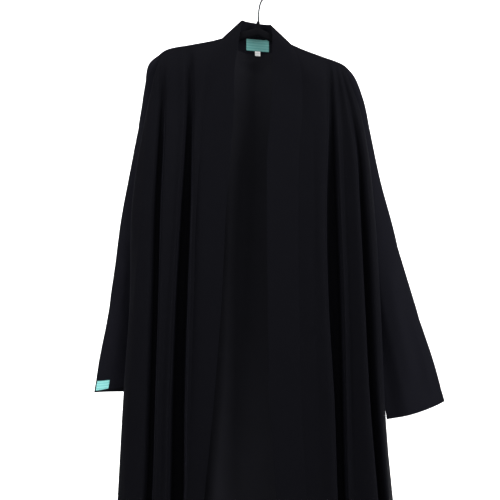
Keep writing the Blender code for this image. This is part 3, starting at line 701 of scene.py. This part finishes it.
def black_crepe(name, dark, light):
    """Matt black polyester crepe: a fine pebbled weave that gives a soft, slightly blue sheen."""
    material, tree, shader = new_material(name, {
        "Roughness": 0.75, "Specular IOR Level": 0.06, "Sheen Weight": 0.042,
        "Sheen Roughness": 0.4, "Sheen Tint": tint("#9898B0"), "Specular Tint": tint("#B4B4C8")})
    place = add_node(tree, "ShaderNodeTexCoord")
    # Slow clouding, 60 mm wide, as cloth takes the light unevenly
    cloud = add_node(tree, "ShaderNodeTexNoise", None, {"Scale": 16.0, "Detail": 3.0},
                     {"Vector": place.outputs["UV"]})
    colour = add_node(tree, "ShaderNodeValToRGB", None, None, {"Fac": cloud.outputs["Fac"]})
    colour.color_ramp.elements[0].color = tint(dark)
    colour.color_ramp.elements[1].color = tint(light)
    tree.links.new(colour.outputs["Color"], shader.inputs["Base Color"])
    # Crepe pebbles are 0.4 mm; here they are 1.2 mm, the finest that still shows close up
    pebble = add_node(tree, "ShaderNodeTexVoronoi", None, {"Scale": 830.0},
                      {"Vector": place.outputs["UV"]})
    weave = add_node(tree, "ShaderNodeTexNoise", None, {"Scale": 500.0, "Detail": 2.0},
                     {"Vector": place.outputs["UV"]})
    both = add_node(tree, "ShaderNodeMath", {"operation": "ADD"}, None,
                    {0: pebble.outputs["Distance"], 1: weave.outputs["Fac"]})
    bump = add_node(tree, "ShaderNodeBump", None, {"Strength": 0.35, "Distance": 0.0003},
                    {"Height": both.outputs["Value"]})
    tree.links.new(bump.outputs["Normal"], shader.inputs["Normal"])
    return material


def label_satin(name, light, dark, roughness):
    """Woven satin label: dense fine ribs across it give a soft shine along the thread."""
    material, tree, shader = new_material(name, {
        "Roughness": roughness, "Specular IOR Level": 0.35, "Sheen Weight": 0.1})
    place = add_node(tree, "ShaderNodeTexCoord")
    # Ribs are 0.25 mm apart on a real label, here 0.8 mm so that they show close up
    rib = add_node(tree, "ShaderNodeTexWave", {"bands_direction": "Y"},
                   {"Scale": 63.0, "Distortion": 0.6, "Detail": 1.0, "Detail Scale": 3.0},
                   {"Vector": place.outputs["UV"]})
    colour = add_node(tree, "ShaderNodeValToRGB", None, None, {"Fac": rib.outputs["Fac"]})
    colour.color_ramp.elements[0].color = tint(dark)
    colour.color_ramp.elements[1].color = tint(light)
    tree.links.new(colour.outputs["Color"], shader.inputs["Base Color"])
    bump = add_node(tree, "ShaderNodeBump", None, {"Strength": 0.4, "Distance": 0.0002},
                    {"Height": rib.outputs["Fac"]})
    tree.links.new(bump.outputs["Normal"], shader.inputs["Normal"])
    return material


def sewing_thread():
    """Black polyester sewing thread: a little glossier than the crepe, and mottled by its twist."""
    material, tree, shader = new_material("sewing_thread", {
        "Roughness": 0.7, "Specular IOR Level": 0.15})
    place = add_node(tree, "ShaderNodeTexCoord")
    # The plies twist round every 1 mm
    ply = add_node(tree, "ShaderNodeTexNoise", None, {"Scale": 900.0},
                   {"Vector": place.outputs["Object"]})
    colour = add_node(tree, "ShaderNodeValToRGB", None, None, {"Fac": ply.outputs["Fac"]})
    colour.color_ramp.elements[0].color = tint("#0A0A0D")
    colour.color_ramp.elements[1].color = tint("#111115")
    tree.links.new(colour.outputs["Color"], shader.inputs["Base Color"])
    return material


def hanger_plastic():
    """Moulded polystyrene, matt black: a fine spark-eroded grain breaks up its shine."""
    material, tree, shader = new_material("moulded_polystyrene", {
        "Base Color": tint("#050508"), "Specular IOR Level": 0.04})
    place = add_node(tree, "ShaderNodeTexCoord")
    # The grain is finer than 0.1 mm; here it is 0.7 mm so that it shows close up
    grain = add_node(tree, "ShaderNodeTexNoise", None, {"Scale": 1400.0, "Detail": 2.0},
                     {"Vector": place.outputs["Object"]})
    rough = add_node(tree, "ShaderNodeMapRange", None, {"To Min": 0.6, "To Max": 0.75},
                     {"Value": grain.outputs["Fac"]})
    tree.links.new(rough.outputs["Result"], shader.inputs["Roughness"])
    bump = add_node(tree, "ShaderNodeBump", None, {"Strength": 0.15, "Distance": 0.0001},
                    {"Height": grain.outputs["Fac"]})
    tree.links.new(bump.outputs["Normal"], shader.inputs["Normal"])
    return material


def plated_wire():
    """Dark-plated steel wire: a deep grey metal shine, unevenly rubbed along the wire."""
    material, tree, shader = new_material("plated_wire", {
        "Base Color": tint("#2E3033"), "Metallic": 1.0})
    place = add_node(tree, "ShaderNodeTexCoord")
    # Rubbed patches 3 mm long
    rubbed = add_node(tree, "ShaderNodeTexNoise", None, {"Scale": 320.0, "Detail": 2.0},
                      {"Vector": place.outputs["Object"]})
    rough = add_node(tree, "ShaderNodeMapRange", None, {"To Min": 0.2, "To Max": 0.34},
                     {"Value": rubbed.outputs["Fac"]})
    tree.links.new(rough.outputs["Result"], shader.inputs["Roughness"])
    return material


def studio_paper(name, code):
    """Seamless studio background paper, matt, with barely visible fibres 3 mm long."""
    material, tree, shader = new_material(name, {"Roughness": 0.9, "Specular IOR Level": 0.2})
    place = add_node(tree, "ShaderNodeTexCoord")
    fibre = add_node(tree, "ShaderNodeTexNoise", None, {"Scale": 300.0, "Detail": 2.0},
                     {"Vector": place.outputs["Object"]})
    colour = add_node(tree, "ShaderNodeValToRGB", None, None, {"Fac": fibre.outputs["Fac"]})
    colour.color_ramp.elements[0].color = tint(code)
    colour.color_ramp.elements[1].color = tint("#FFFFFF")
    tree.links.new(colour.outputs["Color"], shader.inputs["Base Color"])
    return material


def stitch_row(bm, line, normals, size):
    """Row of sewn stitches along a line, each lying on the cloth."""
    steps = np.linalg.norm(np.diff(line, axis=0), axis=1)
    along = np.concatenate(([0.0], np.cumsum(steps)))
    length, width, height = size
    pitch = length * STITCH_PITCH
    for at in np.arange(pitch / 2, along[-1] - pitch / 2, pitch):
        here, ahead = (np.array([np.interp(place, along, line[:, axis]) for axis in range(3)])
                       for place in (at, at + 1.0))
        up = np.array([np.interp(at, along, normals[:, axis]) for axis in range(3)])
        up /= np.linalg.norm(up)
        run = ahead - here
        run -= up * (run @ up)
        run /= np.linalg.norm(run)
        side = np.cross(up, run)
        turn = Matrix([[run[axis] * length / 2, side[axis] * width / 2, up[axis] * height / 2,
                        here[axis]] for axis in range(3)] + [[0, 0, 0, 1]])
        bmesh.ops.create_icosphere(bm, subdivisions=1, radius=1.0, matrix=turn)


def line_above(surface, distance):
    """Line on a panel's outer face, a distance above its lower edge, and the normals along it."""
    lengths = surface["lengths"][1]
    places = []
    for column in range(lengths.shape[1]):
        at = lengths[-1, column] - distance
        places.append([np.interp(at, lengths[:, column], values[:, column, axis])
                       for values in (surface["outer"], surface["normals"]) for axis in range(3)])
    places = np.array(places)
    return places[:, :3], places[:, 3:]


def hem_thickness(distance, hem):
    """Thickness of the cloth, more where a hem is turned under, at distances from the edge."""
    past = (distance - hem + HEM_EASE["before"]) / HEM_EASE["over"]
    return CREPE + TURNED_UNDER * (1 - smooth(past))


def build_garment(cloth, painted_light_cloth, wrong_side, thread):
    """All cloth panels with their stitches; gives back their surfaces by name.

    The sleeves' fronts and the band's inner face are in a paler copy of the crepe: painted light.
    """
    fronts = {side: front_grid(side) for side in SIGN}
    bands = {side: band_grid(side, fronts[side]) for side in SIGN}
    surfaces = {}

    def panel(name, grid, normals, thickness, relief, hem, materials=(cloth, wrong_side)):
        """Shell on a grid, its middle moved out by the relief, with a row of stitches on its hem."""
        lengths = run_lengths(grid)
        middle = grid + normals * relief[:, :, None]
        half = normals * (thickness / 2)[:, :, None]
        surfaces[name] = {"middle": middle, "outer": middle + half, "normals": normals,
                          "lengths": lengths}
        piece = shell(name + "_cloth", middle + half, middle - half, lengths, materials,
                      UNDERARM_ROW if len(materials) == 3 else 0)
        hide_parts(name)
        if hem:
            bm = bmesh.new()
            stitch_row(bm, *line_above(surfaces[name], hem), STITCH_SIZE)
            add_object(name + "_hem_stitches", bm, [thread])

    for side, sign in SIGN.items():
        grid = fronts[side]
        band = bands[side]
        neck_rows = len(neckline_rows())
        front_normals = grid_normals(grid, sign)
        band_normals = grid_normals(band, -sign)
        shared = front_normals[:, 0] + band_normals[neck_rows:, 0]
        shared /= np.linalg.norm(shared, axis=1)[:, None]
        front_normals[:, 0] = shared
        band_normals[neck_rows:, 0] = shared

        u, v = run_lengths(grid)
        from_hem = v[-1] - v
        relief = -SEAM_DIP * (dip(u) + dip(u[:, -1:] - u))
        relief -= HEM_DIP * dip(from_hem - HEM, HEM_DIP_WIDTH)
        relief += creased(grid, CREASES[f"front_{side}"])
        panel(f"front_{side}", grid, front_normals, hem_thickness(from_hem, HEM), relief, HEM)

        u, v = run_lengths(band)
        from_edge = u[:, -1:] - u
        doubled = smooth(u / BAND_ROUND) * smooth(from_edge / BAND_EDGE_ROUND + BAND_EDGE_LEFT)
        # The band's inner face is in a paler copy of the crepe: painted light
        panel(f"band_{side}", band, band_normals, CREPE + (DOUBLED - CREPE) * doubled,
              -SEAM_DIP * dip(u), 0, (cloth, painted_light_cloth))

        grid = sleeve_grid(side)
        u, v = run_lengths(grid)
        from_cuff = v[-1] - v
        relief = -SEAM_DIP * dip(v) - HEM_DIP * dip(from_cuff - CUFF_HEM, HEM_DIP_WIDTH)
        front_layer = np.arange(grid.shape[1]) < UNDERARM_ROW
        relief += np.where(front_layer, creased(grid, CREASES[f"sleeve_{side}"]),
                           creased(grid, CREASES_BEHIND[f"sleeve_{side}"]))
        relief[:, -1] = relief[:, 0]
        # The sleeve's front is in a paler copy of the crepe, painted light, and its inner face in the
        # paler wrong side, painted light too
        panel(f"sleeve_{side}", grid, grid_normals(grid, -sign, True),
              hem_thickness(from_cuff, CUFF_HEM), relief, CUFF_HEM, (cloth, painted_light_cloth, wrong_side))

    grid = back_grid()
    u, v = run_lengths(grid)
    from_hem = v[-1] - v
    relief = -SEAM_DIP * (dip(u) + dip(u[:, -1:] - u) + dip(v))
    relief -= HEM_DIP * dip(from_hem - HEM, HEM_DIP_WIDTH)
    relief += creased(grid, CREASES["back"])
    # Its inner face, seen inside through the open front, is in the paler wrong side: painted light on
    # the shaded inside
    panel("back", grid, grid_normals(grid, 1.0), hem_thickness(from_hem, HEM), relief, HEM)
    return surfaces


def build_hanger(plastic, metal):
    """Arms as one moulded bar, and the wire hook standing on it."""
    reach, left = arm_line("left", 0.0)
    right = arm_line("right", 0.0)[1]
    line = np.concatenate((right[:0:-1], left))
    share = np.concatenate((reach[:0:-1], reach)) / reach[-1]
    heights = ARM_HEIGHT_MIDDLE + (ARM_HEIGHT_TIP - ARM_HEIGHT_MIDDLE) * share
    depths = ARM_HALF_DEPTH - ARM_THINNING * share ** 3
    line[:, 1] -= ARM_TIP_SINK * share ** ARM_TIP_SHARPNESS
    along = np.gradient(line, axis=0)
    along /= np.linalg.norm(along, axis=1)[:, None]
    bm = bmesh.new()
    section = bmesh.ops.create_circle(bm, cap_ends=True, segments=ARM_SIDES, radius=1.0)["verts"]
    angles = [math.atan2(vert.co.y, vert.co.x) for vert in section]
    face = bm.faces[:]
    for index, ((x, z), (run, rise), height, half_depth) in enumerate(
            zip(line, along, heights, depths)):
        if index:
            grown = bmesh.ops.extrude_face_region(bm, geom=face)["geom"]
            if index > 1:
                bmesh.ops.delete(bm, geom=face, context="FACES_ONLY")
            face = [part for part in grown if isinstance(part, bmesh.types.BMFace)]
            section = face[0].verts[:]
        down = Vector((rise, 0.0, -run))
        centre = Vector((x, 0.0, z)) + down * height / 2
        for vert, angle in zip(section, angles):
            round_up = math.copysign(abs(math.cos(angle)) ** ARM_SQUARENESS, math.cos(angle))
            deep = math.copysign(abs(math.sin(angle)) ** ARM_SQUARENESS, math.sin(angle))
            vert.co = centre + down * (height / 2 * round_up) + Vector((0, half_depth * deep, 0))
    bmesh.ops.recalc_face_normals(bm, faces=bm.faces)
    arms = add_object("hanger_bar", bm, [plastic])
    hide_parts("hanger_arms")

    bm = bmesh.new()
    middle = tilted(0.0, (BOSS["foot"] + BOSS["top"]) / 2)
    place = Matrix.Translation((middle[0], 0.0, middle[1])) @ Matrix.Rotation(TILT, 4, "Y")
    bmesh.ops.create_cone(bm, cap_ends=True, segments=ARM_SIDES, radius1=BOSS["radius_foot"],
                          radius2=BOSS["radius_top"], depth=BOSS["top"] - BOSS["foot"], matrix=place)
    rims = [edge for edge in bm.edges if any(len(face.verts) > 4 for face in edge.link_faces)]
    bmesh.ops.bevel(bm, geom=rims, offset=BOSS["rounding"], offset_type="OFFSET", segments=3,
                    profile=0.5, affect="EDGES", material=-1)
    add_object("hook_boss", bm, [plastic])

    bar = bpy.data.curves.new("hook", "CURVE")
    bar.dimensions = "3D"
    bar.bevel_depth = WIRE_RADIUS * MM
    bar.bevel_resolution = 6
    bar.use_fill_caps = True
    path = through([tilted(*place) for place in HOOK_PATH], HOOK_STEPS)
    spline = bar.splines.new("POLY")
    spline.points.add(len(path) - 1)
    for point, (across, up) in zip(spline.points, path):
        point.co = (across * MM, 0.0, up * MM, 1.0)
    spline.use_smooth = True
    bar.materials.append(metal)
    hook = bpy.data.objects.new("wire_hook", bar)
    bpy.context.scene.collection.objects.link(hook)
    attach(hook, "root")
    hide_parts("hanger_hook")


def band_surface(surfaces, across, height):
    """Depth of the middle of the band's neck part, at a given across and height."""
    rows = len(neckline_rows()) + 1
    left = surfaces["band_left"]["middle"][:rows]
    right = surfaces["band_right"]["middle"][:rows]
    rows = np.concatenate((right[::-1], left[1:]))
    share = np.array([np.interp(height, row[:, 2], np.linspace(0, 1, len(row))) for row in rows])
    places = np.array([row[0] + (row[-1] - row[0]) * part for row, part in zip(rows, share)])
    return np.interp(across, places[:, 0], places[:, 1])


def sewn_label(name, middle, normals, material, thread, sewn_edges):
    """Woven label with its ends turned under, and stitches along the edges that are sewn down."""
    lengths = run_lengths(middle)
    from_end = np.minimum(lengths[0], lengths[0][:, -1:] - lengths[0])
    past = (from_end - LABEL_TURN + TURN_EASE["before"]) / TURN_EASE["over"]
    thickness = LABEL_CLOTH * (1 + TURN_THICKER * (1 - smooth(past)))
    half = normals * (thickness / 2)[:, :, None]
    piece = shell(name + "_woven", middle + half, middle - half, lengths, [material])
    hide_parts(name)
    bm = bmesh.new()
    for edge in sewn_edges:
        inset, facing = (values[LABEL_EDGES[edge]] for values in (middle, normals))
        stitch_row(bm, inset + facing * LABEL_CLOTH * STITCH_RAISE, facing, LABEL_STITCH)
    rows = [add_object(name + "_stitches", bm, [thread])]


def build_labels(surfaces, turquoise, pale, white, thread):
    """Neck label on the inside of the band, size tab under it and cuff label on the sleeve."""
    foot, head = NECK_LABEL["z"]
    start, end = NECK_LABEL["x"]
    centre = (start + end) / 2

    def against_band(x, up):
        """Place against the band, above or below the foot of the neck label."""
        z = foot - math.tan(TILT) * (x - centre)
        slack = LABEL_SLACK * math.sin(math.pi * (x - start) / (2 * (centre - start)))
        depth = band_surface(surfaces, x, z + max(up, 0.0)) - LABEL_STAND_OFF - max(slack, 0.0)
        return x, depth, z + up

    columns, rows = LABEL_POINTS["neck"]
    across = np.linspace(start, end, columns)
    heights = np.linspace(0, head - foot, rows)
    middle = np.array([[against_band(x, up) for x in across] for up in heights])
    sewn_label("neck_label", middle, grid_normals(middle, 1.0), turquoise, thread,
               ("start", "end"))

    columns, rows = LABEL_POINTS["tab"]
    across = np.linspace(*SIZE_TAB["x"], columns)
    heights = np.linspace(-SEAM_GAP - SIZE_TAB["height"], -SEAM_GAP, rows)
    middle = np.array([[against_band(x, up) for x in across] for up in heights])
    sewn_label("size_tab", middle, grid_normals(middle, 1.0), white, thread, ("high",))

    sleeve = surfaces["sleeve_right"]["middle"][:, :UNDERARM_ROW + 1]
    places = ring_places("right")
    columns, rows = LABEL_POINTS["cuff"]
    lines = []
    for at in np.linspace(*CUFF_LABEL["up"], rows):
        ring = np.array([[np.interp(at, places, sleeve[:, column, axis]) for axis in range(3)]
                         for column in range(UNDERARM_ROW + 1)])
        shares = np.linalg.norm(ring - ring[0], axis=1)
        shares = shares / shares[-1]
        lines.append([[np.interp(part, shares, ring[:, axis]) for axis in range(3)]
                      for part in np.linspace(*CUFF_LABEL["across"], columns)])
    surface = np.array(lines)
    normals = grid_normals(surface, 1.0)
    normals *= -np.sign(normals[:, :, 1:2])
    sewn_label("cuff_label", surface + normals * CUFF_LABEL_STAND_OFF, normals, pale,
               thread, ("low", "high", "start", "end"))


def build_studio():
    """Pale floor and backdrop, soft lights and the photograph's camera."""
    floor = bpy.data.meshes.new("floor")
    bm = bmesh.new()
    bmesh.ops.create_grid(bm, x_segments=1, y_segments=1, size=WALL_AWAY)
    bmesh.ops.translate(bm, vec=(0, 0, FLOOR_LEVEL), verts=bm.verts)
    back_edge = [edge for edge in bm.edges if all(vert.co.y > 0 for vert in edge.verts)]
    grown = bmesh.ops.extrude_edge_only(bm, edges=back_edge)["geom"]
    for part in grown:
        if isinstance(part, bmesh.types.BMVert):
            part.co.z += WALL_AWAY
    corner = [edge for edge in bm.edges if all(vert.co.y > 0 and vert.co.z < FLOOR_LEVEL + 0.1
                                               for vert in edge.verts)]
    bmesh.ops.bevel(bm, geom=corner, offset=CORNER_ROUND, offset_type="OFFSET", segments=12,
                    profile=0.5, affect="EDGES", material=-1)
    bm.to_mesh(floor)
    bm.free()
    floor.shade_smooth()
    floor.materials.append(studio_paper("background_paper", "#FAFAFA"))
    sweep = bpy.data.objects.new("studio_floor", floor)
    bpy.context.scene.collection.objects.link(sweep)

    world = bpy.data.worlds.new("studio")
    bpy.context.scene.world = world
    world.use_nodes = True
    sky = world.node_tree.nodes["Background"]
    sky.inputs["Color"].default_value = tint("#F4F6F8")
    sky.inputs["Strength"].default_value = WORLD_STRENGTH

    for name, (place, target, size, power) in LIGHTS.items():
        light = bpy.data.lights.new(name, "AREA")
        light.shape = "DISK"
        light.size = size
        light.energy = power
        lamp = bpy.data.objects.new(name, light)
        bpy.context.scene.collection.objects.link(lamp)
        lamp.location = place
        aim = Vector(target) - Vector(place)
        lamp.rotation_euler = aim.to_track_quat("-Z", "Y").to_euler()

    camera = bpy.data.objects.new("photo_camera", bpy.data.cameras.new("photo_camera"))
    bpy.context.scene.collection.objects.link(camera)
    camera.data.sensor_width = SENSOR_WIDTH
    camera.data.lens = SENSOR_WIDTH * CAMERA_DISTANCE / PHOTO_WIDTH
    camera.location = (PHOTO_MIDDLE[0], -CAMERA_DISTANCE, PHOTO_MIDDLE[1])
    camera.rotation_euler = (math.radians(90.0), 0.0, 0.0)
    bpy.context.scene.camera = camera
    bpy.context.scene.view_settings.view_transform = "Standard"


def main():
    """Build the hanger, the garment on it, its labels and the studio."""
    thread = sewing_thread()
    build_hanger(hanger_plastic(), plated_wire())
    # The right side of the crepe is dull. The sleeves' fronts and the band's inner face are in a
    # paler copy of the crepe, painted light, and the wrong side, seen inside the back, is paler too:
    # painted light on the shaded inside
    surfaces = build_garment(black_crepe("black_crepe", "#08080B", "#0A0A0D"),
                             black_crepe("black_crepe_painted_light", "#0F0F13", "#121217"),
                             black_crepe("black_crepe_wrong_side_painted_light", "#161619", "#19191D"), thread)
    # The neck label is darker than the cuff's: it stands partly for its lettering and partly for
    # painted shade. The tab is white
    build_labels(surfaces, label_satin("turquoise_satin", "#6FADA7", "#5A9A97", 0.4),
                 label_satin("pale_turquoise_satin", "#93D8D4", "#78C4C1", 0.4),
                 label_satin("white_satin", "#F4F4F2", "#DEDEDC", 0.4), thread)
    build_studio()


main()
